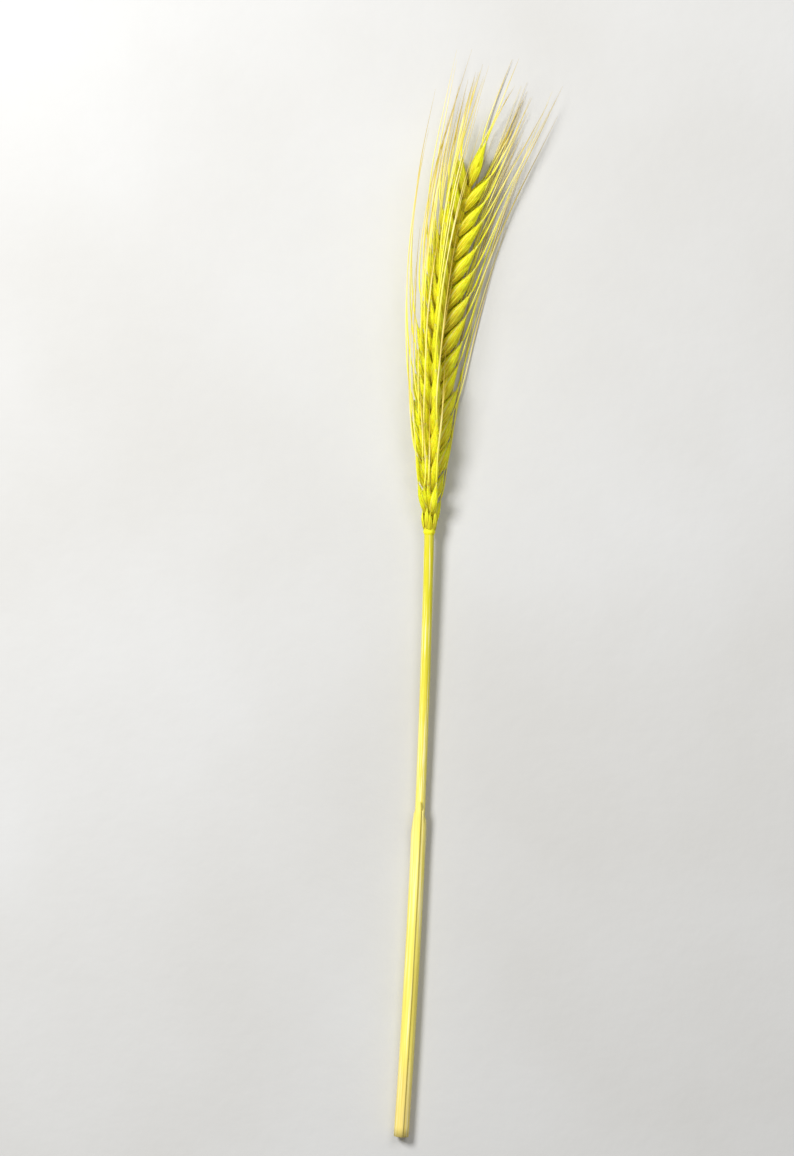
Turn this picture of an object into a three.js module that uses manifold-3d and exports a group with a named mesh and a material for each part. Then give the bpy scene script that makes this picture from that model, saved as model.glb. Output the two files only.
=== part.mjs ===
// A bearded wheat ear on its cut straw, lying on a flat surface.
// Millimetres, +Z up. +Y runs from the straw's cut end to the awn tips, and the
// origin is under the middle of the whole stalk, on the surface that it lies on.
import * as THREE from "three";
import { mergeVertices } from "three/addons/utils/BufferGeometryUtils.js";
import Module from "manifold-3d";

const { degToRad, lerp, smoothstep } = THREE.MathUtils;
const wasm = await Module();
wasm.setup();

// Driving dimensions: the stalk
const EAR_LENGTH = 108; // collar to the tip of the last scale
const STRAW_LENGTH = 168; // cut end to collar
const STRAW_RADIUS = 1.4;
const STRAW_SIDES = 10;
const HOLLOW_RADIUS = 0.75; // of the straw's cut end
const HOLLOW_DEPTH = 7;
const SHEATH_LENGTH = 84; // the leaf sheath left on the lower straw
const SHEATH_WALL = 0.6;
const SHEATH_SLIT = degToRad(34);
const SHEATH_TURN = degToRad(-40); // where the slit is, round the straw
const MOUTH_SLANT = 9; // how far the sheath's mouth slants each way
const FIT_GAP = 0.3; // between pieces that touch

// The line that the stalk follows, by its distance s from the collar
const LEAN = 0.022; // sideways, for each millimetre along
const STRAW_BOW = 4; // how far the cut end swings back
const EAR_SWEEP = 12; // how far the ear's tip swings out
const SHEATH_RADIUS = STRAW_RADIUS + FIT_GAP + SHEATH_WALL;
const EAR_HEIGHT = 4.8; // of the ear's middle line over the surface
const RISE_START = SHEATH_LENGTH - STRAW_LENGTH; // the straw lifts off where the sheath ends
const RISE_END = 22;

// The rachis, the ear's spine, and the collar below it
const RACHIS_RADIUS = 1.3;
const RACHIS_TIP_RADIUS = 1.1;
const RACHIS_LENGTH = EAR_LENGTH - 10;
const RACHIS_SIDES = 6;
const COLLAR_RADIUS = 1.8;
const COLLAR_LENGTH = 2.6;
const PEG_RADIUS = 0.7; // the straw's top, inside the collar
const PEG_LENGTH = 1.8;

// Spikelets stand in two rows, turn about, and the ear twists along its length
const SPIKELETS = 28;
const FIRST_SPIKELET = 2;
const ROLL_AT_COLLAR = degToRad(80);
const ROLL_AT_TIP = degToRad(8);
const SPIKELET_LEAN = degToRad(22); // out from the rachis
const SPIKELET_SEAT = 0.2; // from the rachis's middle line
const COLLAR_SPIKELET = 0.66; // share of full size at the collar
const TIP_SPIKELET = 0.88; // share of full size at the ear's tip
const SIZE_VARIATION = 0.04;
const LEAN_VARIATION = 0.12;

// Scales: the two glumes outside, and two awned florets and a middle one inside. A profile
// is the width, as a share of the widest, along the length.
const GLUME_PROFILE = [[0.1, 0.65], [0.5, 1]];
const FLORET_PROFILE = [[0.13, 0.68], [0.48, 1]];
const GLUME = { length: 10.5, width: 2.4, depth: 1.4, arch: 0.5, sides: 4, profile: GLUME_PROFILE };
const FLORET = { length: 13.5, width: 2.8, depth: 2.4, arch: 0.6, sides: 4, profile: FLORET_PROFILE };
const MIDDLE_FLORET = { length: 10.5, width: 2.3, depth: 2, arch: 0.3, sides: 4, profile: FLORET_PROFILE };

// Awns: stiff bristles that run on from the florets' tips
const AWN_LENGTH = 58; // at the middle of the ear
const COLLAR_AWN = 0.5; // share of that length at the collar
const TIP_AWN = 0.38; // share of that length at the ear's tip
const AWN_LENGTH_VARIATION = 0.1;
const AWN_ROOT_RADIUS = 0.27;
const AWN_TIP_RADIUS = 0.14;
const AWN_SPREAD = degToRad(8); // from the ear's line
const AWN_SPREAD_VARIATION = 0.45;
const AWN_TURN = 0.12; // share of an awn over which it turns towards the ear's line
const AWN_STEPS = 4;
const AWN_CLEARANCE = 0.4; // an awn's middle line over the surface
const AWN_EASE = 0.5; // how softly the surface turns an awn aside

const UP = new THREE.Vector3(0, 0, 1);
const SEEDS = { size: 100, lean: 200, awnLength: 300, awnSpread: 400 };

// A repeatable factor near 1 for each whole number.
function vary(variation, number) {
  const x = Math.sin(number * 12.9898) * 43758.5453;
  return 1 + variation * (2 * (x - Math.floor(x)) - 1);
}

// The stalk's middle line. Past the ear's tip it runs straight on, for the awns.
function stalkLine(s) {
  const past = Math.max(s / EAR_LENGTH - 1, 0);
  const swing = s > 0
    ? EAR_SWEEP * (Math.min(s / EAR_LENGTH, 1) ** 3 + 3 * past)
    : -STRAW_BOW * (s / STRAW_LENGTH) ** 2;
  const lift = smoothstep(s, RISE_START, RISE_END);
  return new THREE.Vector3(LEAN * s + swing, s, lerp(SHEATH_RADIUS, EAR_HEIGHT, lift));
}

// Side, along and up at one place on the stalk's line, with that place.
function frameAt(s) {
  const step = 0.01;
  const along = stalkLine(s + step).sub(stalkLine(s - step)).normalize();
  const side = new THREE.Vector3().crossVectors(along, UP).normalize();
  const up = new THREE.Vector3().crossVectors(side, along);
  return new THREE.Matrix4().makeBasis(side, along, up).setPosition(stalkLine(s));
}

// A point of the straight stalk, moved to the bent one.
function bent(point) {
  return new THREE.Vector3(point.x, 0, point.z).applyMatrix4(frameAt(point.y));
}

// A geometry with each of its points moved by a rule.
function reshaped(geometry, rule) {
  const places = geometry.getAttribute("position");
  for (let i = 0; i < places.count; i++) {
    places.setXYZ(i, ...rule(new THREE.Vector3().fromBufferAttribute(places, i)));
  }
  return geometry;
}

// A closed geometry as a solid that can be joined and cut.
function solidOf(geometry) {
  const bare = geometry.clone().deleteAttribute("normal").deleteAttribute("uv");
  const merged = mergeVertices(bare);
  const corners = merged.index.array;
  const triVerts = [];
  for (let i = 0; i < corners.length; i += 3) {
    const [a, b, c] = corners.slice(i, i + 3);
    if (a !== b && b !== c && c !== a) triVerts.push(a, b, c);
  }
  const vertProperties = merged.getAttribute("position").array;
  return new wasm.Manifold(
    new wasm.Mesh({ numProp: 3, vertProperties, triVerts: new Uint32Array(triVerts) }),
  );
}

function geometryOf(solid) {
  const { vertProperties, triVerts } = solid.getMesh();
  const geometry = new THREE.BufferGeometry();
  geometry.setAttribute("position", new THREE.BufferAttribute(vertProperties, 3));
  geometry.setIndex(new THREE.BufferAttribute(triVerts, 1));
  return geometry.toNonIndexed();
}

function turned(profile, sides) {
  return new THREE.LatheGeometry(profile.map(([r, y]) => new THREE.Vector2(r, y)), sides);
}

// One scale along +Y from its root at the origin, arched, with its back to +Z. A floret's
// flat boat turns round where it runs on into its awn.
function scaleGeometry({ length, width, depth, arch, sides, profile }, awnLength = 0) {
  const outline = profile.map(([t, r]) => [(r * width) / 2, t * length]);
  if (awnLength > 0) {
    outline.push([AWN_ROOT_RADIUS, length]);
    for (let i = 1; i < AWN_STEPS; i++) {
      const t = i / AWN_STEPS;
      outline.push([lerp(AWN_ROOT_RADIUS, AWN_TIP_RADIUS, t), length + awnLength * t]);
    }
  }
  return reshaped(turned([[0, 0], ...outline, [0, length + awnLength]], sides), (point) => {
    const t = Math.min(point.y / length, 1);
    const roundness = awnLength > 0 ? smoothstep(t, 0.5, 1) : 0;
    const flatness = lerp(depth / width, 1, roundness);
    return point.setZ(point.z * flatness + arch * Math.sin(Math.PI * t));
  });
}

// A scale's place in its spikelet: +X out from the rachis, +Y along, +Z to one side.
// back is the way that it faces: 0 to the side, a quarter turn outwards.
function scalePlace(hand, { out, along, aside, splay, flare, back }) {
  const facing = hand > 0 ? back : Math.PI - back;
  return new THREE.Matrix4()
    .makeTranslation(out, along, aside * hand)
    .multiply(new THREE.Matrix4().makeRotationX(splay * hand))
    .multiply(new THREE.Matrix4().makeRotationZ(-flare))
    .multiply(new THREE.Matrix4().makeRotationY(facing));
}

const GLUME_PLACE = {
  out: 0.3, along: 0, aside: 0.8, splay: degToRad(15), flare: degToRad(5), back: degToRad(42),
};
const FLORET_PLACE = {
  out: 0, along: 0.7, aside: 0.6, splay: degToRad(13), flare: degToRad(2), back: degToRad(30),
};
const MIDDLE_PLACE = {
  out: -0.3, along: 2.2, aside: 0, splay: 0, flare: degToRad(2), back: degToRad(90),
};

const glumeShape = scaleGeometry(GLUME);
const middleShape = scaleGeometry(MIDDLE_FLORET);

// Where spikelet i stands on the straight ear, and how large it is.
function spikeletPlace(i) {
  const share = i / SPIKELETS;
  const s = lerp(FIRST_SPIKELET, RACHIS_LENGTH - 1, share);
  const roll = lerp(ROLL_AT_COLLAR, ROLL_AT_TIP, share) + (i % 2) * Math.PI;
  const growth = lerp(COLLAR_SPIKELET, 1, smoothstep(share, 0, 0.2));
  const taper = lerp(1, TIP_SPIKELET, smoothstep(share, 0.6, 1));
  const size = growth * taper * vary(SIZE_VARIATION, i + SEEDS.size);
  const last = i === SPIKELETS;
  const lean = last ? 0 : SPIKELET_LEAN * vary(LEAN_VARIATION, i + SEEDS.lean);
  const matrix = new THREE.Matrix4()
    .makeTranslation(0, s, 0)
    .multiply(new THREE.Matrix4().makeRotationY(roll))
    .multiply(new THREE.Matrix4().makeTranslation(last ? 0 : SPIKELET_SEAT, 0, 0))
    .multiply(new THREE.Matrix4().makeRotationZ(-lean))
    .multiply(new THREE.Matrix4().makeScale(size, size, size));
  return { share, matrix };
}

// The line of an awn on the straight ear: it leaves along its floret's heading, and turns
// towards the ear's own line.
function awnCurve(tip, heading, length, spread) {
  const away = new THREE.Vector3(heading.x, 0, heading.z).normalize();
  const end = new THREE.Vector3(0, Math.cos(spread), 0).addScaledVector(away, Math.sin(spread));
  const bend = tip.clone().addScaledVector(heading, AWN_TURN * length);
  return new THREE.QuadraticBezierCurve3(tip, bend, end.multiplyScalar(length).add(tip));
}

// How far the surface lifts an awn's middle line, to keep it clear.
function liftOver(z) {
  const over = (z - AWN_CLEARANCE) / AWN_EASE;
  return over > 30 ? 0 : AWN_CLEARANCE + AWN_EASE * Math.log1p(Math.exp(over)) - z;
}

function awnLengthAt(share, number) {
  const growth = lerp(COLLAR_AWN, 1, smoothstep(share, 0, 0.4));
  const taper = lerp(1, TIP_AWN, smoothstep(share, 0.5, 1));
  return AWN_LENGTH * growth * taper * vary(AWN_LENGTH_VARIATION, number + SEEDS.awnLength);
}

// A floret with its awn, in place on the stalk.
function awnedFloret(place, share, number) {
  const length = awnLengthAt(share, number);
  const size = place.getMaxScaleOnAxis();
  const geometry = scaleGeometry(FLORET, length / size);
  const tip = new THREE.Vector3(0, FLORET.length, 0);
  const heading = new THREE.Vector3(0, 1, 0).transformDirection(place);
  const spread = AWN_SPREAD * vary(AWN_SPREAD_VARIATION, number + SEEDS.awnSpread);
  const curve = awnCurve(tip.clone().applyMatrix4(place), heading, length, spread);
  return reshaped(geometry, (point) => {
    const past = (point.y - FLORET.length) * size;
    if (past < 0) return bent(point.applyMatrix4(place));
    const middle = curve.getPoint(Math.min(past / length, 1));
    const offset = point.setY(FLORET.length).applyMatrix4(place).sub(curve.v0);
    const lift = liftOver(bent(middle).z);
    return bent(offset.add(middle)).addScaledVector(UP, lift);
  });
}

function spikeletSolids(i) {
  const { share, matrix } = spikeletPlace(i);
  const placed = (hand, place) => matrix.clone().multiply(scalePlace(hand, place));
  const plainScale = (shape, place) => solidOf(reshaped(shape.clone().applyMatrix4(place), bent));
  const solids = [plainScale(middleShape, placed(1, MIDDLE_PLACE))];
  for (const hand of [-1, 1]) {
    const number = 2 * i + (hand + 1) / 2;
    solids.push(plainScale(glumeShape, placed(hand, GLUME_PLACE)));
    solids.push(solidOf(awnedFloret(placed(hand, FLORET_PLACE), share, number)));
  }
  return solids;
}

function rachisSolid() {
  const socket = PEG_RADIUS + FIT_GAP;
  const steps = 8;
  const profile = [
    [0, PEG_LENGTH + FIT_GAP], [socket, PEG_LENGTH + FIT_GAP], [socket, 0],
    [STRAW_RADIUS + 0.2, 0], [COLLAR_RADIUS, 0.3 * COLLAR_LENGTH],
  ];
  for (let i = 0; i <= steps; i++) {
    const t = i / steps;
    profile.push([lerp(RACHIS_RADIUS, RACHIS_TIP_RADIUS, t), lerp(COLLAR_LENGTH, RACHIS_LENGTH, t)]);
  }
  profile.push([0, RACHIS_LENGTH + 1]);
  return solidOf(reshaped(turned(profile, RACHIS_SIDES), bent));
}

// The half space under the surface, which trims the lowest scales to small flat spots.
function underside() {
  const depth = 20;
  const slab = new THREE.BoxGeometry(200, 800, depth);
  return solidOf(slab.translate(0, 0, -depth / 2));
}

// The ear in one body. Pockets shut in between the scales are left solid.
function earGeometry() {
  const solids = [rachisSolid()];
  for (let i = 0; i <= SPIKELETS; i++) solids.push(...spikeletSolids(i));
  const shells = wasm.Manifold.union(solids).subtract(underside()).decompose();
  shells.sort((a, b) => b.volume() - a.volume());
  return geometryOf(shells[0]);
}

// The straw, with the hollow that shows at its cut end and the peg that enters the collar.
function strawGeometry() {
  const steps = 18;
  const shoulder = -FIT_GAP;
  const boreEnd = HOLLOW_DEPTH - STRAW_LENGTH;
  const profile = [[0, boreEnd], [HOLLOW_RADIUS, boreEnd], [HOLLOW_RADIUS, -STRAW_LENGTH]];
  for (let i = 0; i <= steps; i++) {
    profile.push([STRAW_RADIUS, lerp(-STRAW_LENGTH, shoulder, i / steps)]);
  }
  profile.push([PEG_RADIUS, shoulder], [PEG_RADIUS, PEG_LENGTH], [0, PEG_LENGTH]);
  return reshaped(turned(profile, STRAW_SIDES), bent);
}

// The leaf sheath: a slit tube round the lower straw, with a slanting mouth at its top.
function sheathGeometry() {
  const steps = 9;
  const start = (Math.PI + SHEATH_SLIT) / 2;
  const end = start + 2 * Math.PI - SHEATH_SLIT;
  const section = new THREE.Shape()
    .absarc(0, 0, SHEATH_RADIUS, start, end, false)
    .absarc(0, 0, SHEATH_RADIUS - SHEATH_WALL, end, start, true);
  const tube = new THREE.ExtrudeGeometry(section, {
    depth: SHEATH_LENGTH, steps, curveSegments: STRAW_SIDES, bevelEnabled: false,
  });
  tube.rotateX(-Math.PI / 2).rotateY(SHEATH_TURN);
  return reshaped(tube, (point) => {
    const rise = (point.y / SHEATH_LENGTH) ** 3;
    const slant = (MOUTH_SLANT * rise * point.z) / SHEATH_RADIUS;
    return bent(point.setY(point.y + slant - STRAW_LENGTH));
  });
}

function piece(name, geometry, color, roughness) {
  const mesh = new THREE.Mesh(geometry, new THREE.MeshStandardMaterial({ color, roughness, metalness: 0 }));
  mesh.name = name;
  return mesh;
}

const stalk = new THREE.Group();
stalk.add(
  piece("ear", earGeometry(), 0xd8cf1e, 0.55),
  piece("straw", strawGeometry(), 0xe6d75a, 0.45),
  piece("leaf_sheath", sheathGeometry(), 0xe8d878, 0.6),
);

// The origin goes under the middle of the stalk.
const middle = new THREE.Box3().setFromObject(stalk).getCenter(new THREE.Vector3());
stalk.position.set(-middle.x, -middle.y, 0);

export default stalk;
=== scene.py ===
import math

import bmesh
import bpy
import numpy as np
from mathutils import Matrix, Vector


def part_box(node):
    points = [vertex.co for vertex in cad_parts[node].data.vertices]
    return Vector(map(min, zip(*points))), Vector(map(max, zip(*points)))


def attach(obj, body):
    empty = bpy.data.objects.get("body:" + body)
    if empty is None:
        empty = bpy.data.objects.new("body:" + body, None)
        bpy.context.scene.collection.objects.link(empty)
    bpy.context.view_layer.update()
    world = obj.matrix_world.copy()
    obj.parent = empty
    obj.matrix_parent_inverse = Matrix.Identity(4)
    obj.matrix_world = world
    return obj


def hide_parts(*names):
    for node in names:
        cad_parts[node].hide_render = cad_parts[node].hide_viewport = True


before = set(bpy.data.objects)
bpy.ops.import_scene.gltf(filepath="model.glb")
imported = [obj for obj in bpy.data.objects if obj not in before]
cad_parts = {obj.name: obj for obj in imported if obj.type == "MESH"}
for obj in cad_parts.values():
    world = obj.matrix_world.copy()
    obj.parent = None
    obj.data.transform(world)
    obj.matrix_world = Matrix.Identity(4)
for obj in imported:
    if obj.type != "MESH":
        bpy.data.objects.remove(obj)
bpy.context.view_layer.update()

# A bearded wheat ear on its cut straw, lying on a pale surface and seen from above.
# Shapes are modelled straight along +Y, in millimetres, and are then laid along the
# stalk's own bent line, in metres.
MM = 0.001

# The stalk's line, as in the solids. Distances along it start at the collar
EAR_LENGTH = 108
STRAW_LENGTH = 168
SHEATH_LENGTH = 84
SHEATH_RADIUS = 2.3
STRAW_RADIUS = 1.4
SOLID_STRAW_SIDES = 10
LEAN = 0.022  # how far the stalk leans to the right, for each millimetre along it
STRAW_BOW = 4
EAR_SWEEP = 12
EAR_HEIGHT = 4.8
RISE_START = SHEATH_LENGTH - STRAW_LENGTH
RISE_END = 22
SURFACE_GAP = 0.02  # the lowest scales are pressed flat just over the surface

# The spikelets' layout, as in the solids
SPIKELETS = 28
FIRST_SPIKELET = 2
RACHIS_LENGTH = EAR_LENGTH - 10
LAST_SPIKELET = RACHIS_LENGTH - 1
ROLL_AT_COLLAR = math.radians(80)
ROLL_AT_TIP = math.radians(8)
SPIKELET_LEAN = math.radians(22)
SPIKELET_SEAT = 0.2
COLLAR_SPIKELET = 0.66  # the lowest and highest spikelets' sizes, as shares of full size
TIP_SPIKELET = 0.88
SPIKELET_FULL_FROM = 0.2  # shares of the ear's length between which spikelets have full size
SPIKELET_FULL_TO = 0.6
SIZE_VARIATION = 0.04
LEAN_VARIATION = 0.12
SEEDS = {
    "size": 100, "lean": 200, "awn_length": 300, "awn_spread": 400,
    "tint": 500, "bow": 700, "turn": 900,
}

# Scales: their sizes, and their places in a spikelet with angles in degrees
GLUME = {"length": 10.5, "width": 2.4, "depth": 1.4, "arch": 0.5}
FLORET = {"length": 13.5, "width": 2.8, "depth": 2.4, "arch": 0.6}
MIDDLE_FLORET = {"length": 10.5, "width": 2.3, "depth": 2.0, "arch": 0.3}
UPPER_FLORET = {"length": 9, "width": 2.0, "depth": 1.7, "arch": 0.3}
PALEA = {"length": 12, "width": 2.5, "depth": 3.2, "arch": 0.0}
GLUME_PLACE = {"out": 0.3, "along": 0, "aside": 0.8, "splay": 15, "flare": 5, "back": 42}
FLORET_PLACE = {"out": 0, "along": 0.7, "aside": 0.6, "splay": 13, "flare": 2, "back": 30}
MIDDLE_PLACE = {"out": -0.3, "along": 2.2, "aside": 0, "splay": 0, "flare": 2, "back": 90}
UPPER_PLACE = {"out": 0.2, "along": 3.4, "aside": 0.4, "splay": 6, "flare": 5, "back": 62}
BOTH_HANDS = (-1, 1)
ONE_HAND = (1,)

# A scale's outline: shares of its length, half width and half depth at each station
GLUME_OUTLINE = (
    (0.0, 0.5, 0.6), (0.1, 0.76, 0.8), (0.24, 0.96, 0.95), (0.4, 1.0, 1.0), (0.57, 0.86, 0.95),
    (0.72, 0.6, 0.75), (0.85, 0.33, 0.5), (0.94, 0.14, 0.24), (1.0, 0.05, 0.1),
)
LEMMA_OUTLINE = (
    (0.0, 0.3, 0.35), (0.07, 0.54, 0.58), (0.18, 0.82, 0.84), (0.32, 0.98, 0.98), (0.46, 1.0, 1.0),
    (0.6, 0.84, 0.86), (0.75, 0.55, 0.6), (0.89, 0.3, 0.34), (1.0, 0.2, 0.23),
)

# A scale's form: wrap is in degrees to each side, rib and keel are shares of its half depth
GLUME_FORM = {"outline": GLUME_OUTLINE, "wrap": 100, "rib": 0.05, "keel": 0.22}
LEMMA_FORM = {"outline": LEMMA_OUTLINE, "wrap": 115, "rib": 0.04, "keel": 0.06}
PALEA_FORM = {"outline": LEMMA_OUTLINE, "wrap": 125, "rib": 0.03, "keel": -0.06}
SCALE_SIDES = 20
SHELL = 0.16  # a scale's thickness
SCALE_TURN = 4  # degrees that a scale may turn about its own line
GLUME_TILT = 2.5  # degrees that a glume may lean off its place

# Small barren scales round the collar
COLLAR_SCALES = 10
COLLAR_SCALE_SIZE = 0.6
COLLAR_SCALE_GROWTH = (0.85, 1.15)  # from the lowest scale to the highest
COLLAR_SCALE_ROOTS = (0.6, 1.8)
COLLAR_SCALE_OUT = 1.2
COLLAR_SCALE_TILT = math.radians(4)
GOLDEN_TURN = math.radians(137.5)

# Awns
AWN_LENGTH = 58
COLLAR_AWN = 0.5  # the lowest and highest awns, as shares of the longest
TIP_AWN = 0.38
MIDDLE_AWN = 0.85  # the inner florets' awns, as shares of the outer ones'
UPPER_AWN = 0.7
AWN_FULL_FROM = 0.4  # shares of the ear's length between which awns are longest
AWN_FULL_TO = 0.5
AWN_LENGTH_VARIATION = 0.1
AWN_SIDES = 5
AWN_STEPS = 17
AWN_ROOT_RADIUS = 0.25
AWN_TIP_RADIUS = 0.1
AWN_SUNK = 0.05  # the share of an awn's length that is sunk in its floret
AWN_SUNK_RADIUS = 0.06
AWN_NECK = 0.6  # the neck's share of the radius, and where along the awn it ends
AWN_NECK_END = 0.12
AWN_POINT = 0.2  # the point's share of the radius, and where along the awn it starts
AWN_POINT_START = 0.8
AWN_SPREAD = math.radians(8)
AWN_SPREAD_VARIATION = 0.45
AWN_TURN = 0.12  # the share of its length in which an awn turns from its floret's heading
AWN_CLEARANCE = 0.4  # how high awns stay over the surface, and how softly they lift
AWN_EASE = 0.5
AWN_BOW = 0.9  # how far an awn bows to one side of its line

# The rachis: its internodes, with shares of their length and two radii, and its collar
INTERNODE_OUTLINE = (
    (0, 0.9, 0.9), (0.3, 1.0, 1.0), (0.7, 1.2, 1.2), (0.88, 1.2, 1.15), (1, 0.5, 0.6),
)
INTERNODE_SIDES = 10
INTERNODE_OVERLAP = 1.25
INTERNODE_SUNK = 0.5
INTERNODE_OFFSET = 0.25
INTERNODE_LEAN = math.radians(7)
COLLAR_LENGTH = 2.6
COLLAR_TOP = COLLAR_LENGTH + 2
COLLAR_FOOT = 0.05
COLLAR_OUTLINE = (
    (COLLAR_FOOT, 1.0), (0.0, STRAW_RADIUS), (0.3, 1.52), (0.65, 1.68), (1.05, 1.65), (1.6, 1.45),
    (COLLAR_LENGTH, 1.25), (COLLAR_TOP, 1.0),
)
COLLAR_SIDES = 28
COLLAR_RIB = 0.035
COLLAR_TINT = 0.2
ROUND_MARGIN = 0.4  # round pieces have no margins to colour

# The straw
STRAW_SIDES = 36
STRAW_STEPS = 56
STRAW_RIB = 0.025
STRAW_FULLNESS = 0.985  # with the ribs, this comes close to the solid's radius
STRAW_UNEVENNESS = 0.012
HOLLOW_RADIUS = 0.75
HOLLOW_DEPTH = 7
CUT_BEVEL = 0.08
CUT_STEP = 0.1
END_STEP = 0.2
END_RADIUS = 0.1

# The sheath, a rolled leaf with a torn mouth
SHEATH_SIDES = 96
SHEATH_STEPS = 30
SHEATH_RIB = 0.018
SHEATH_WALL = 0.2
SHEATH_INNER_RADIUS = 1.75  # where the roll's inner edge lies on the straw
SHEATH_OUTER_RADIUS = SHEATH_RADIUS - 0.06
SHEATH_EDGE = math.radians(24)  # the roll's free edge, to the right of the top
SHEATH_OVERLAP = math.radians(130)
MOUTH_SLANT = 9
MOUTH_FLARE = 0.1
MOUTH_FLARE_START = 0.93
MOUTH_TEARS = ((0.5, 5, 1), (0.35, 12, 0), (0.25, 31, 2))  # depth, waves and start of each

SHARP_EDGE = math.radians(50)  # edges sharper than this stay sharp
TOLERANCE = 1e-4  # points this close to a place are taken as being there
SMALLEST = 1e-6  # keeps a length from being nothing
DRAW_STEP = 12.9898  # these two scatter the draws
DRAW_GAIN = 43758.5453


# The stalk's line and the places on it

def smoothstep(value, low, high):
    t = np.clip((np.asarray(value, float) - low) / (high - low), 0, 1)
    return t * t * (3 - 2 * t)


def lerp(a, b, t):
    return a + (b - a) * t


def draw(number):
    """A repeatable draw from -1 to 1 for each whole number."""
    x = math.sin(number * DRAW_STEP) * DRAW_GAIN
    return 2 * (x - math.floor(x)) - 1


def vary(variation, number):
    return 1 + variation * draw(number)


def stalk_line(s):
    """The stalk's middle line at distances s from the collar, in millimetres."""
    s = np.asarray(s, float)
    along_ear = np.clip(s / EAR_LENGTH, 0, None)
    sweep = EAR_SWEEP * (np.minimum(along_ear, 1) ** 3 + 3 * np.maximum(along_ear - 1, 0))
    bow = STRAW_BOW * (np.minimum(s, 0) / STRAW_LENGTH) ** 2
    lift = smoothstep(s, RISE_START, RISE_END)
    return np.stack([LEAN * s + sweep - bow, s, lerp(SHEATH_RADIUS, EAR_HEIGHT, lift)], axis=-1)


def bent(points):
    """Points of the straight stalk, moved to the bent one."""
    step = 0.01
    s = points[:, 1]
    along = stalk_line(s + step) - stalk_line(s - step)
    along /= np.linalg.norm(along, axis=1, keepdims=True)
    side = np.cross(along, (0.0, 0.0, 1.0))
    side /= np.linalg.norm(side, axis=1, keepdims=True)
    up = np.cross(side, along)
    return stalk_line(s) + side * points[:, :1] + up * points[:, 2:]


def stalk_origin():
    """Where the line's start is in the frame: the straw's cut end shows it."""
    turns = np.arange(SOLID_STRAW_SIDES) * 2 * math.pi / SOLID_STRAW_SIDES
    rim = np.stack([np.sin(turns), 0 * turns, np.cos(turns)], axis=1) * STRAW_RADIUS
    rim[:, 1] = -STRAW_LENGTH
    low = bent(rim).min(axis=0)
    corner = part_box("straw")[0]
    return np.array([corner.x - low[0] * MM, corner.y - low[1] * MM, 0.0])


ORIGIN = stalk_origin()


def in_frame(points):
    """Millimetres on the stalk's line, as metres in the frame, none under the surface."""
    placed = points.copy()
    placed[:, 2] = np.maximum(placed[:, 2], SURFACE_GAP)
    return placed * MM + ORIGIN


def laid_at(place):
    """The rule that lays a straight piece at its place on the bent stalk."""
    m = np.array(place)
    return lambda points: bent(points @ m[:3, :3].T + m[:3, 3])


def scale_place(hand, out, along, aside, splay, flare, back):
    """A scale's place in its spikelet: +X out from the rachis, +Y along, +Z to one side."""
    facing = back if hand > 0 else 180 - back
    return (
        Matrix.Translation((out, along, aside * hand))
        @ Matrix.Rotation(math.radians(splay * hand), 4, "X")
        @ Matrix.Rotation(math.radians(-flare), 4, "Z")
        @ Matrix.Rotation(math.radians(facing), 4, "Y")
    )


def joint_on_rachis(i):
    """Where spikelet i grows: its share of the ear's length, its distance along and its turn."""
    share = i / SPIKELETS
    roll = lerp(ROLL_AT_COLLAR, ROLL_AT_TIP, share) + (i % 2) * math.pi
    return share, lerp(FIRST_SPIKELET, LAST_SPIKELET, share), roll


def spikelet_place(i):
    """How far along the ear spikelet i is, from 0 to 1, and its place on the straight ear."""
    share, s, roll = joint_on_rachis(i)
    growth = lerp(COLLAR_SPIKELET, 1, float(smoothstep(share, 0, SPIKELET_FULL_FROM)))
    taper = lerp(1, TIP_SPIKELET, float(smoothstep(share, SPIKELET_FULL_TO, 1)))
    size = growth * taper * vary(SIZE_VARIATION, i + SEEDS["size"])
    last = i == SPIKELETS
    lean = 0 if last else SPIKELET_LEAN * vary(LEAN_VARIATION, i + SEEDS["lean"])
    place = (
        Matrix.Translation((0, s, 0))
        @ Matrix.Rotation(roll, 4, "Y")
        @ Matrix.Translation((0 if last else SPIKELET_SEAT, 0, 0))
        @ Matrix.Rotation(-lean, 4, "Z")
        @ Matrix.Scale(size, 4)
    )
    return share, place


def ear_places(place, hands):
    """Shares of the ear's length and places of one kind of scale on every spikelet."""
    return [
        (spikelet_place(i)[0], spikelet_place(i)[1] @ scale_place(hand, **place))
        for i in range(SPIKELETS + 1)
        for hand in hands
    ]


# Modelling

def start_ring(name, sides):
    """A ring round +Y, in edit mode and selected all over."""
    bpy.ops.object.select_all(action="DESELECT")
    bpy.ops.mesh.primitive_circle_add(vertices=sides, radius=1, rotation=(math.pi / 2, 0, 0))
    ring = bpy.context.object
    ring.name = ring.data.name = name
    bpy.ops.object.transform_apply(location=False, rotation=True, scale=False)
    bpy.ops.object.mode_set(mode="EDIT")
    bpy.ops.mesh.select_all(action="SELECT")
    return ring


def select_points(piece, wanted):
    mesh = bmesh.from_edit_mesh(piece.data)
    for vert in mesh.verts:
        vert.select_set(bool(wanted(vert.co)))
    mesh.select_flush_mode()
    bmesh.update_edit_mesh(piece.data)


def raise_ribs(piece, sides, height):
    """Pushes every other point of a ring out, as a rib."""
    step = 2 * math.pi / sides
    select_points(piece, lambda co: round(math.atan2(co.x, co.z) / step) % 2 == 0)
    bpy.ops.transform.resize(value=(1 + height, 1, 1 + height), center_override=(0, 0, 0))
    bpy.ops.mesh.select_all(action="SELECT")


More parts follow.
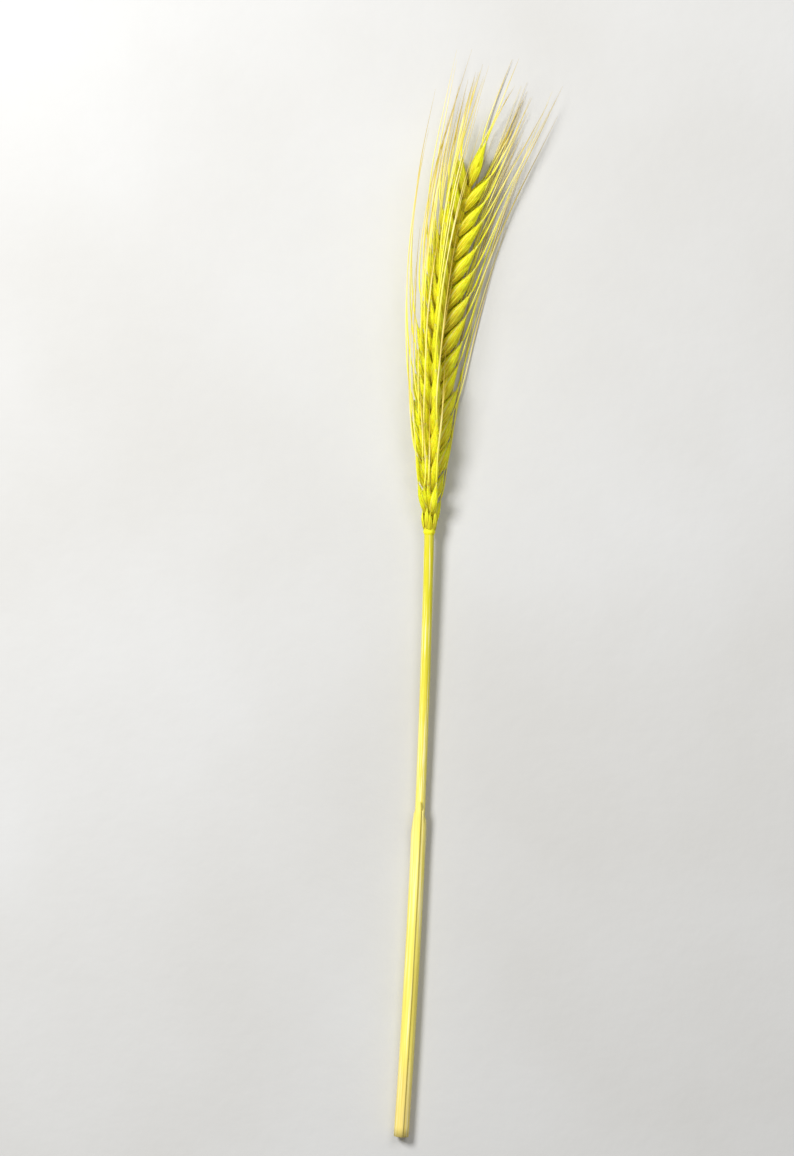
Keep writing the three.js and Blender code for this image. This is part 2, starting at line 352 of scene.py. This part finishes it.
def draw_out(stations):
    """Draws the selected ring out along +Y.

    A station is its place, half width, half depth and rise."""
    y, wide, deep, rise = stations[0]
    bpy.ops.transform.resize(value=(wide, 1, deep), center_override=(0, 0, 0))
    bpy.ops.transform.translate(value=(0, y, rise))
    for station in stations[1:]:
        step = (0, station[0] - y, station[3] - rise)
        bpy.ops.mesh.extrude_region_move(TRANSFORM_OT_translate={"value": step})
        ratio = (station[1] / wide, 1, station[2] / deep)
        bpy.ops.transform.resize(value=ratio, center_override=(0, station[0], station[3]))
        y, wide, deep, rise = station


def draw_out_round(outline):
    """Draws the selected ring out along +Y, from its places and radii."""
    draw_out([(y, radius, radius, 0) for y, radius in outline])


def close_ends(piece, low, high):
    """Closes the rings at both ends with a fan of faces round a middle point."""
    for end in (low, high):
        select_points(piece, lambda co, end=end: abs(co.y - end) < TOLERANCE)
        bpy.ops.mesh.edge_face_add()
        bpy.ops.mesh.poke()


def thicken(piece, thickness):
    """Gives a sheet its thickness, inwards."""
    wall = piece.modifiers.new("wall", "SOLIDIFY")
    wall.thickness = thickness
    wall.offset = -1
    bpy.ops.object.modifier_apply(modifier=wall.name)


def finish_edit(piece, shell=0.0):
    """Faces outwards, a wall's thickness where there is one, and smooth shading."""
    bpy.ops.mesh.select_all(action="SELECT")
    bpy.ops.mesh.normals_make_consistent(inside=False)
    bpy.ops.object.mode_set(mode="OBJECT")
    if shell:
        thicken(piece, shell)
    bpy.ops.object.shade_smooth_by_angle(angle=SHARP_EDGE)


def points_of(piece):
    flat = np.empty(len(piece.data.vertices) * 3)
    piece.data.vertices.foreach_get("co", flat)
    return flat.reshape(-1, 3)


def set_points(piece, points):
    piece.data.vertices.foreach_set("co", points.ravel())
    piece.data.update()


def set_attribute(piece, name, values):
    layer = piece.data.attributes.new(name, "FLOAT", "POINT")
    spread = np.broadcast_to(values, len(piece.data.vertices))
    layer.data.foreach_set("value", spread.astype(np.float32))


def set_grain(piece, points):
    """Keeps each point's place before bending, in millimetres, for the grain to follow."""
    layer = piece.data.attributes.new("grain", "FLOAT_VECTOR", "POINT")
    layer.data.foreach_set("vector", points.astype(np.float32).ravel())


def mark_surface(piece, length, root=0.0, margin=1.0):
    """Where each point is on its piece: along it, 0 to 1, and round it from its back, -1 to 1.

    A round piece, with no margins to colour, has a smaller share of that."""
    points = points_of(piece)
    set_attribute(piece, "along", (points[:, 1] - root) / length)
    set_attribute(piece, "across", np.arctan2(points[:, 0], points[:, 2]) / math.pi * margin)
    set_grain(piece, points)


def placed_copy(master, rule, tint):
    """A copy with its own mesh, laid by a rule, with its own shade of the dye."""
    copy = master.copy()
    copy.data = master.data.copy()
    bpy.context.collection.objects.link(copy)
    set_points(copy, in_frame(rule(points_of(copy))))
    set_attribute(copy, "tint", tint)
    return copy


def discard(piece):
    bpy.data.objects.remove(piece, do_unlink=True)


def gather(name, copies):
    """Joins placed copies in one piece."""
    bpy.ops.object.select_all(action="DESELECT")
    for copy in copies:
        copy.select_set(True)
    bpy.context.view_layer.objects.active = copies[0]
    bpy.ops.object.join()
    piece = bpy.context.object
    piece.name = piece.data.name = name
    return piece


# The scales

def scale_master(name, size, outline, wrap, rib, keel):
    """One scale along +Y from its root, with its back to +Z: an arc with ribs, drawn out."""
    scale = start_ring(name, SCALE_SIDES)
    select_points(scale, lambda co: math.atan2(abs(co.x), co.z) > math.radians(wrap))
    bpy.ops.mesh.delete(type="VERT")
    raise_ribs(scale, SCALE_SIDES, rib)
    select_points(scale, lambda co: abs(co.x) < TOLERANCE)
    bpy.ops.transform.translate(value=(0, 0, keel))
    bpy.ops.mesh.select_all(action="SELECT")
    length = size["length"]
    half_width = size["width"] / 2
    half_depth = size["depth"] / 2
    draw_out([
        (t * length, wide * half_width, deep * half_depth, size["arch"] * math.sin(math.pi * t))
        for t, wide, deep in outline
    ])
    finish_edit(scale, SHELL)
    mark_surface(scale, length)
    return scale


def grow_scales(name, master, places, looseness=0.0):
    """Copies of a scale at their places on the ear, in one piece, each turned its own way."""
    copies = []
    for number, place in enumerate(places):
        turn = math.radians(SCALE_TURN * draw(number + SEEDS["turn"]))
        tilt = math.radians(looseness * draw(number + SEEDS["bow"]))
        loose = place @ Matrix.Rotation(tilt, 4, "X") @ Matrix.Rotation(turn, 4, "Y")
        copies.append(placed_copy(master, laid_at(loose), draw(number + SEEDS["tint"])))
    discard(master)
    return gather(name, copies)


def collar_places():
    """The places of the barren scales that hide the ear's foot."""
    places = []
    for k in range(COLLAR_SCALES):
        share = k / COLLAR_SCALES
        places.append(
            Matrix.Translation((0, lerp(*COLLAR_SCALE_ROOTS, share), 0))
            @ Matrix.Rotation(GOLDEN_TURN * k, 4, "Y")
            @ Matrix.Translation((COLLAR_SCALE_OUT, 0, 0))
            @ Matrix.Rotation(-COLLAR_SCALE_TILT, 4, "Z")
            @ Matrix.Rotation(math.pi / 2, 4, "Y")
            @ Matrix.Scale(lerp(*COLLAR_SCALE_GROWTH, share) * COLLAR_SCALE_SIZE, 4)
        )
    return places


def make_glumes():
    """The two outer scales of each spikelet, and the barren ones under them."""
    master = scale_master("glume", GLUME, **GLUME_FORM)
    places = [place for _, place in ear_places(GLUME_PLACE, BOTH_HANDS)]
    return grow_scales("ear_glumes", master, places + collar_places(), GLUME_TILT)


def make_lemmas():
    """The outer florets' backs."""
    master = scale_master("lemma", FLORET, **LEMMA_FORM)
    places = [place for _, place in ear_places(FLORET_PLACE, BOTH_HANDS)]
    return grow_scales("ear_lemmas", master, places)


def make_inner_florets(name, size, place):
    """One kind of the smaller florets between the two outer ones, on every spikelet."""
    master = scale_master("inner_lemma", size, **LEMMA_FORM)
    places = [place for _, place in ear_places(place, ONE_HAND)]
    return grow_scales(name, master, places)


def make_paleas():
    """The inner scale of each outer floret, which closes it towards the rachis."""
    master = scale_master("palea", PALEA, **PALEA_FORM)
    about = Matrix.Rotation(math.pi, 4, "Y")
    places = [place @ about for _, place in ear_places(FLORET_PLACE, BOTH_HANDS)]
    return grow_scales("ear_paleas", master, places)


# The awns

def awn_master():
    """One straight awn along +Y, 0 to 1, with its radius in millimetres."""
    awn = start_ring("awn", AWN_SIDES)
    outline = [(-AWN_SUNK, AWN_SUNK_RADIUS)]
    for i in range(AWN_STEPS + 1):
        t = i / AWN_STEPS
        neck = lerp(AWN_NECK, 1, min(t / AWN_NECK_END, 1))
        point = lerp(1, AWN_POINT, max(t - AWN_POINT_START, 0) / (1 - AWN_POINT_START))
        outline.append((t, lerp(AWN_ROOT_RADIUS, AWN_TIP_RADIUS, t) * neck * point))
    draw_out_round(outline)
    close_ends(awn, -AWN_SUNK, 1)
    finish_edit(awn)
    mark_surface(awn, 1)
    return awn


def awn_length(share, number):
    growth = lerp(COLLAR_AWN, 1, float(smoothstep(share, 0, AWN_FULL_FROM)))
    taper = lerp(1, TIP_AWN, float(smoothstep(share, AWN_FULL_TO, 1)))
    variation = vary(AWN_LENGTH_VARIATION, number + SEEDS["awn_length"])
    return AWN_LENGTH * growth * taper * variation


def lift_over(z):
    """How far the surface lifts an awn's middle line, to keep it clear."""
    well_clear = 30
    over = np.minimum((z - AWN_CLEARANCE) / AWN_EASE, well_clear)
    lifted = AWN_CLEARANCE + AWN_EASE * np.log1p(np.exp(over))
    return np.maximum(lifted - z, 0)


def awn_rule(place, tip_length, length, number):
    """The rule that lays the straight awn along its own line, from its floret's tip."""
    turn = np.array(place.to_3x3().normalized())
    tip = np.array(place @ Vector((0, tip_length, 0)))
    heading = turn[:, 1]
    away = np.array([heading[0], 0, heading[2]])
    away /= max(np.linalg.norm(away), SMALLEST)
    spread = AWN_SPREAD * vary(AWN_SPREAD_VARIATION, number + SEEDS["awn_spread"])
    bend = tip + heading * AWN_TURN * length
    end = tip + (np.array([0, math.cos(spread), 0]) + away * math.sin(spread)) * length
    bow = AWN_BOW * draw(number + SEEDS["bow"]) * np.cross(away, (0, 1, 0))

    def rule(points):
        t = points[:, 1:2]
        middle = (1 - t) ** 2 * tip + 2 * t * (1 - t) * bend + t**2 * end
        middle = middle + np.sin(math.pi * np.clip(t, 0, 1)) * bow
        offset = points * (1, 0, 1) @ turn.T
        laid = bent(middle + offset)
        laid[:, 2] += lift_over(bent(middle)[:, 2])
        return laid

    return rule


def make_awns():
    """The beard: an awn on every floret."""
    master = awn_master()
    bearers = [(FLORET, 1.0, *bearer) for bearer in ear_places(FLORET_PLACE, BOTH_HANDS)]
    bearers += [(MIDDLE_FLORET, MIDDLE_AWN, *bearer) for bearer in ear_places(MIDDLE_PLACE, ONE_HAND)]
    bearers += [(UPPER_FLORET, UPPER_AWN, *bearer) for bearer in ear_places(UPPER_PLACE, ONE_HAND)]
    copies = []
    for number, (floret, part, share, place) in enumerate(bearers):
        rule = awn_rule(place, floret["length"], part * awn_length(share, number), number)
        copies.append(placed_copy(master, rule, draw(number + SEEDS["tint"])))
    discard(master)
    return gather("ear_awns", copies)


# The rachis, the straw and its sheath

def make_rachis():
    """The ear's spine: stout internodes, each leaning the other way, over the collar."""
    length = INTERNODE_OVERLAP * (LAST_SPIKELET - FIRST_SPIKELET) / SPIKELETS
    internode = start_ring("internode", INTERNODE_SIDES)
    draw_out([(t * length, wide, deep, 0) for t, wide, deep in INTERNODE_OUTLINE])
    close_ends(internode, 0, length)
    finish_edit(internode)
    mark_surface(internode, 2 * length, margin=ROUND_MARGIN)
    copies = []
    for i in range(SPIKELETS):
        _, s, roll = joint_on_rachis(i)
        place = (
            Matrix.Translation((0, s - INTERNODE_SUNK, 0))
            @ Matrix.Rotation(roll, 4, "Y")
            @ Matrix.Translation((-INTERNODE_OFFSET, 0, 0))
            @ Matrix.Rotation(-INTERNODE_LEAN, 4, "Z")
        )
        copies.append(placed_copy(internode, laid_at(place), draw(i + SEEDS["tint"])))
    discard(internode)
    copies.append(make_collar())
    return gather("ear_rachis", copies)


def make_collar():
    """The swollen joint under the ear, finely ribbed."""
    collar = start_ring("collar", COLLAR_SIDES)
    raise_ribs(collar, COLLAR_SIDES, COLLAR_RIB)
    draw_out_round(COLLAR_OUTLINE)
    close_ends(collar, COLLAR_FOOT, COLLAR_TOP)
    finish_edit(collar)
    mark_surface(collar, 4 * COLLAR_LENGTH, -2 * COLLAR_LENGTH, ROUND_MARGIN)
    placed = placed_copy(collar, bent, COLLAR_TINT)
    discard(collar)
    return placed


def make_straw():
    """The culm, finely ribbed, with the hollow of its cut end."""
    straw = start_ring("straw", STRAW_SIDES)
    raise_ribs(straw, STRAW_SIDES, STRAW_RIB)
    rim = -STRAW_LENGTH
    hollow_end = HOLLOW_DEPTH - STRAW_LENGTH
    outline = [
        (hollow_end, END_RADIUS), (hollow_end + END_STEP, HOLLOW_RADIUS),
        (rim + CUT_STEP, HOLLOW_RADIUS), (rim, HOLLOW_RADIUS + CUT_BEVEL),
        (rim, STRAW_RADIUS - CUT_BEVEL),
    ]
    for i in range(STRAW_STEPS + 1):
        fullness = STRAW_FULLNESS + STRAW_UNEVENNESS * draw(i + SEEDS["bow"])
        outline.append((lerp(rim + CUT_STEP, CUT_STEP, i / STRAW_STEPS), STRAW_RADIUS * fullness))
    outline.append((END_STEP, END_RADIUS))
    draw_out_round(outline)
    close_ends(straw, hollow_end, END_STEP)
    finish_edit(straw)
    mark_surface(straw, STRAW_LENGTH, rim)
    placed = placed_copy(straw, bent, 0)
    discard(straw)
    return gather("straw_culm", [placed])


def make_sheath():
    """The dry leaf sheath: a ribbed sheet rolled round the straw, one edge over the other."""
    sheath = start_ring("sheath", SHEATH_SIDES)
    raise_ribs(sheath, SHEATH_SIDES, SHEATH_RIB)
    select_points(sheath, lambda co: co.z < TOLERANCE - 1)
    bpy.ops.mesh.delete(type="VERT")
    bpy.ops.mesh.select_all(action="SELECT")
    draw_out_round([(SHEATH_LENGTH * i / SHEATH_STEPS, 1) for i in range(SHEATH_STEPS + 1)])
    finish_edit(sheath)
    sideways, along, up = points_of(sheath).T
    turn = np.arctan2(sideways, up)
    share = (turn + math.pi) / (2 * math.pi)
    t = along / SHEATH_LENGTH
    set_attribute(sheath, "along", t)
    set_attribute(sheath, "tint", 0)
    set_grain(sheath, np.stack([share * 2 * math.pi * SHEATH_RADIUS, along, 0 * t], axis=1))
    rolled = SHEATH_EDGE - (1 - share) * (2 * math.pi + SHEATH_OVERLAP)
    radius = np.hypot(sideways, up) * lerp(SHEATH_INNER_RADIUS, SHEATH_OUTER_RADIUS, share)
    radius += MOUTH_FLARE * smoothstep(t, MOUTH_FLARE_START, 1)
    torn = sum(depth * np.sin(waves * turn + start) for depth, waves, start in MOUTH_TEARS)
    sideways = np.sin(rolled) * radius
    up = np.cos(rolled) * radius
    along = along - STRAW_LENGTH + (MOUTH_SLANT * up / SHEATH_RADIUS + torn) * t**3
    set_points(sheath, in_frame(bent(np.stack([sideways, along, up], axis=1))))
    thicken(sheath, SHEATH_WALL * MM)
    return gather("sheath_leaf", [sheath])


# Finishes

def srgb(red, green, blue):
    """A colour given by its screen values, 0 to 255, as the shader takes it."""
    shares = [c / 255 for c in (red, green, blue)]
    linear = [((c + 0.055) / 1.055) ** 2.4 if c > 0.04 else c / 12.92 for c in shares]
    return (*linear, 1)


LEMON = srgb(241, 237, 8)
DEEP_LEMON = srgb(222, 203, 0)
# Dark ochre: painted shade at the roots of the scales, and the colour of the chaff's darker streaks
SHADE_AND_STREAK_OCHRE = srgb(178, 156, 0)
TAN = srgb(188, 163, 62)
PALE_LEMON = srgb(248, 244, 74)
STRAW_GOLD = srgb(217, 194, 70)
CREAM = srgb(250, 238, 156)
BARE_STRAW = srgb(243, 221, 128)
STRAW_YELLOW = srgb(250, 236, 112)
BLEACHED = srgb(255, 248, 200)
DYED_STRAW = srgb(216, 210, 24)
PLASTER = srgb(210, 211, 212)
GREY_PLASTER = srgb(203, 203, 202)

# Colours from a piece's root to its tip; the ochre and deep lemon at the root are painted shade where
# the scales lie over each other
CHAFF_COLOURS = (
    (0.0, SHADE_AND_STREAK_OCHRE), (0.35, DEEP_LEMON), (0.55, LEMON), (0.8, LEMON), (0.94, PALE_LEMON), (1.0, CREAM),
)
AWN_COLOURS = ((0.0, LEMON), (0.3, PALE_LEMON), (0.65, CREAM), (0.85, STRAW_GOLD), (1.0, TAN))
STRAW_COLOURS = ((0.0, BARE_STRAW), (0.4, STRAW_YELLOW), (0.6, STRAW_YELLOW), (0.9, DYED_STRAW))
LEAF_COLOURS = ((0.0, BARE_STRAW), (0.35, STRAW_YELLOW), (0.8, STRAW_YELLOW), (1.0, CREAM))
VEIN_WAVES = 34.0
VEIN_RELIEF = 0.4
AWN_SHADE = 0.18  # how far an awn's tint moves its colours along it
TINT_SHIFT = 40.0  # how far a copy's tint moves its noise, in millimetres
NOISE_RANGE = (0.3, 0.7)  # where most of the noise lies


class Finish:
    """A material whose nodes are added one after another."""

    # The mix node's sockets for colours
    FIRST_COLOUR = 6
    SECOND_COLOUR = 7
    MIXED_COLOUR = 2

    def __init__(self, name):
        self.material = bpy.data.materials.new(name)
        self.material.use_nodes = True
        self.tree = self.material.node_tree
        self.shader = self.tree.nodes["Principled BSDF"]

    def add(self, kind, settings=None, **inputs):
        node = self.tree.nodes.new(kind)
        for key, value in (settings or {}).items():
            setattr(node, key, value)
        for key, value in inputs.items():
            self.put(node.inputs[key.replace("_", " ")], value)
        return node

    def put(self, socket, value):
        if isinstance(value, bpy.types.NodeSocket):
            self.tree.links.new(value, socket)
        else:
            socket.default_value = value

    def attribute(self, name, output="Fac"):
        return self.add("ShaderNodeAttribute", {"attribute_name": name}).outputs[output]

    def noise(self, scale, detail, stretch=1.0):
        """Noise in the piece's own grain, its scale to the millimetre, stretched along it."""
        grain = self.attribute("grain", "Vector")
        own_shift = self.maths("MULTIPLY", self.attribute("tint"), TINT_SHIFT)
        shift = self.add("ShaderNodeCombineXYZ", X=own_shift)
        place = self.add(
            "ShaderNodeMapping", Vector=grain, Location=shift.outputs[0], Scale=(1, 1 / stretch, 1)
        )
        return self.noise_at(place.outputs[0], scale, detail)

    def noise_at(self, place, scale, detail):
        node = self.add("ShaderNodeTexNoise", Vector=place, Scale=scale, Detail=detail)
        return node.outputs["Fac"]

    def maths(self, operation, first, second=0.0):
        node = self.add("ShaderNodeMath", {"operation": operation})
        self.put(node.inputs[0], first)
        self.put(node.inputs[1], second)
        return node.outputs[0]

    def ramp(self, amount, colours):
        node = self.add("ShaderNodeValToRGB", Fac=amount)
        elements = node.color_ramp.elements
        while len(elements) < len(colours):
            elements.new(0.5)
        for element, (position, colour) in zip(elements, colours):
            element.position = position
            element.color = colour
        return node.outputs["Color"]

    def spread(self, amount, low, high, to_low, to_high):
        node = self.add("ShaderNodeMapRange", Value=amount)
        ends = {"From Min": low, "From Max": high, "To Min": to_low, "To Max": to_high}
        for key, value in ends.items():
            node.inputs[key].default_value = value
        return node.outputs["Result"]

    def stain(self, body, colour, amount, start, full, strength):
        """The body's colour with another over it, from where the amount passes a start."""
        factor = self.spread(amount, start, full, 0, strength)
        node = self.add("ShaderNodeMix", {"data_type": "RGBA"})
        self.put(node.inputs["Factor"], factor)
        self.put(node.inputs[self.FIRST_COLOUR], body)
        self.put(node.inputs[self.SECOND_COLOUR], colour)
        return node.outputs[self.MIXED_COLOUR]

    def bump(self, height, strength, distance):
        """Relief of a distance in millimetres."""
        node = self.add("ShaderNodeBump", Height=height, Strength=strength, Distance=distance * MM)
        self.put(self.shader.inputs["Normal"], node.outputs["Normal"])

    def surface(self, colour, roughness, **constants):
        self.put(self.shader.inputs["Base Color"], colour)
        self.put(self.shader.inputs["Roughness"], roughness)
        for key, value in constants.items():
            self.shader.inputs[key.replace("_", " ")].default_value = value
        return self.material


def dyed_chaff():
    """Papery scales: lemon dye, paler veins and margins, painted shade in ochre at the root, creamy
    tips.
    """
    finish = Finish("dyed_chaff")
    across = finish.attribute("across")
    tint = finish.attribute("tint")
    patches = finish.noise(scale=0.45, detail=4)
    streaks = finish.noise(scale=5.0, detail=3, stretch=45)
    veins = finish.maths("SINE", finish.maths("MULTIPLY", across, VEIN_WAVES))
    edges = finish.maths("ABSOLUTE", across)
    # Along each scale the colour darkens to ochre at the root: painted shade where the scales overlap
    body = finish.ramp(finish.attribute("along"), CHAFF_COLOURS)
    body = finish.stain(body, PALE_LEMON, patches, start=0.45, full=0.75, strength=0.35)
    body = finish.stain(body, DEEP_LEMON, tint, start=0.2, full=1.0, strength=0.5)
    body = finish.stain(body, STRAW_GOLD, tint, start=-0.4, full=-1.0, strength=0.3)
    body = finish.stain(body, PALE_LEMON, veins, start=0.2, full=1.0, strength=0.3)
    body = finish.stain(body, SHADE_AND_STREAK_OCHRE, streaks, start=0.52, full=0.66, strength=0.5)
    body = finish.stain(body, PALE_LEMON, streaks, start=0.46, full=0.34, strength=0.6)
    body = finish.stain(body, CREAM, edges, start=0.41, full=0.54, strength=0.7)
    relief = finish.maths("ADD", finish.maths("MULTIPLY", veins, VEIN_RELIEF), streaks)
    finish.bump(relief, strength=0.6, distance=0.18)
    rough = finish.spread(patches, *NOISE_RANGE, 0.48, 0.66)
    return finish.surface(
        body, rough, Subsurface_Weight=0.18, Subsurface_Scale=0.001, Specular_IOR_Level=0.22
    )


def dyed_awn():
    """Awns: lemon at the root, straw gold at the tip."""
    finish = Finish("dyed_awn")
    patches = finish.noise(scale=3.0, detail=3)
    own_shade = finish.maths("MULTIPLY", finish.attribute("tint"), AWN_SHADE)
    body = finish.ramp(finish.maths("ADD", finish.attribute("along"), own_shade), AWN_COLOURS)
    body = finish.stain(body, STRAW_GOLD, patches, start=0.5, full=0.8, strength=0.3)
    finish.bump(finish.noise(scale=6.0, detail=2), strength=0.3, distance=0.05)
    rough = finish.spread(patches, *NOISE_RANGE, 0.4, 0.55)
    return finish.surface(body, rough, Specular_IOR_Level=0.4)


def straw_skin():
    """Shiny ribbed straw: lemon under the ear, fading to cream and bare straw lower down."""
    finish = Finish("straw_skin")
    patches = finish.noise(scale=0.2, detail=4, stretch=4)
    streaks = finish.noise(scale=3.2, detail=4, stretch=60)
    wander = finish.spread(patches, *NOISE_RANGE, -0.12, 0.12)
    body = finish.ramp(finish.maths("ADD", finish.attribute("along"), wander), STRAW_COLOURS)
    body = finish.stain(body, DEEP_LEMON, streaks, start=0.5, full=0.62, strength=0.6)
    body = finish.stain(body, BLEACHED, streaks, start=0.46, full=0.36, strength=0.8)
    finish.bump(streaks, strength=0.6, distance=0.2)
    rough = finish.spread(streaks, *NOISE_RANGE, 0.3, 0.48)
    return finish.surface(body, rough, Specular_IOR_Level=0.5)


def dry_leaf():
    """The leaf sheath: cream straw with dyed veins."""
    finish = Finish("dry_leaf")
    patches = finish.noise(scale=0.16, detail=4, stretch=4)
    streaks = finish.noise(scale=2.4, detail=4, stretch=60)
    wander = finish.spread(patches, *NOISE_RANGE, -0.2, 0.2)
    body = finish.ramp(finish.maths("ADD", finish.attribute("along"), wander), LEAF_COLOURS)
    body = finish.stain(body, STRAW_GOLD, streaks, start=0.5, full=0.68, strength=0.5)
    body = finish.stain(body, BLEACHED, streaks, start=0.46, full=0.32, strength=0.8)
    finish.bump(streaks, strength=0.5, distance=0.2)
    rough = finish.spread(streaks, *NOISE_RANGE, 0.45, 0.62)
    return finish.surface(body, rough, Specular_IOR_Level=0.4)


def pale_plaster():
    """The floor: pale and faintly gritty."""
    finish = Finish("pale_plaster")
    where = finish.add("ShaderNodeTexCoord").outputs["Object"]
    patches = finish.noise_at(where, scale=9, detail=4)
    grit = finish.noise_at(where, scale=240, detail=5)
    body = finish.stain(PLASTER, GREY_PLASTER, patches, start=0.35, full=0.65, strength=1)
    finish.bump(grit, strength=0.12, distance=0.8)
    return finish.surface(body, finish.spread(grit, *NOISE_RANGE, 0.8, 0.9))


# Putting the stalk together

def dress(piece, material, node):
    piece.data.materials.clear()
    piece.data.materials.append(material)
    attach(piece, "root")
    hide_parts(node)


chaff = dyed_chaff()
middle_florets = make_inner_florets("ear_middle_florets", MIDDLE_FLORET, MIDDLE_PLACE)
upper_florets = make_inner_florets("ear_upper_florets", UPPER_FLORET, UPPER_PLACE)
dress(make_glumes(), chaff, "ear")
dress(make_lemmas(), chaff, "ear")
dress(middle_florets, chaff, "ear")
dress(upper_florets, chaff, "ear")
dress(make_paleas(), chaff, "ear")
dress(make_rachis(), chaff, "ear")
dress(make_awns(), dyed_awn(), "ear")
dress(make_straw(), straw_skin(), "straw")
dress(make_sheath(), dry_leaf(), "leaf_sheath")


# Floor, lights and camera, in metres

PHOTO_WIDTH = 794
PHOTO_HEIGHT = 1156
PIXEL = 0.28 * MM
COLLAR_PIXEL = (429, 535)
CAMERA_HEIGHT = 1.0
SENSOR_WIDTH = 36  # in millimetres, as the lens
FLOOR_SIZE = 4
WINDOW = {"place": (-0.46, 0.34, 0.68), "size": 0.32, "power": 8.2, "colour": (1.0, 0.99, 0.97)}
ROOM = {"place": (0.3, 0.4, 0.8), "size": 0.5, "power": 2.3, "colour": (1.0, 0.98, 0.94)}
SURROUND = {"Color": (1.0, 0.98, 0.94, 1), "Strength": 0.25}


def view_centre():
    """The point of the surface at the middle of the picture, from the collar's place in it."""
    collar = in_frame(stalk_line([0.0]))[0]
    return Vector((
        collar[0] + (PHOTO_WIDTH / 2 - COLLAR_PIXEL[0]) * PIXEL,
        collar[1] - (PHOTO_HEIGHT / 2 - COLLAR_PIXEL[1]) * PIXEL,
        0,
    ))


def make_floor():
    bpy.ops.object.select_all(action="DESELECT")
    bpy.ops.mesh.primitive_plane_add(size=FLOOR_SIZE)
    floor = bpy.context.object
    floor.name = "floor"
    floor.data.materials.append(pale_plaster())


def make_light(name, place, size, power, colour):
    light = bpy.data.lights.new(name, "AREA")
    light.shape = "DISK"
    light.size = size
    light.energy = power
    light.color = colour
    lamp = bpy.data.objects.new(name, light)
    lamp.location = place
    lamp.rotation_euler = (view_centre() - Vector(place)).to_track_quat("-Z", "Y").to_euler()
    bpy.context.collection.objects.link(lamp)


def make_camera():
    """The camera looks straight down, with the photo's scale at the surface."""
    data = bpy.data.cameras.new("camera")
    data.sensor_width = SENSOR_WIDTH
    data.lens = SENSOR_WIDTH * CAMERA_HEIGHT / (PHOTO_HEIGHT * PIXEL)
    camera = bpy.data.objects.new("camera", data)
    camera.location = view_centre() + Vector((0, 0, CAMERA_HEIGHT))
    bpy.context.collection.objects.link(camera)
    bpy.context.scene.camera = camera


def make_world():
    world = bpy.data.worlds.new("studio")
    world.use_nodes = True
    for key, value in SURROUND.items():
        world.node_tree.nodes["Background"].inputs[key].default_value = value
    bpy.context.scene.world = world


make_floor()
make_light("window", **WINDOW)
make_light("room", **ROOM)
make_world()
make_camera()
bpy.context.scene.view_settings.view_transform = "Standard"
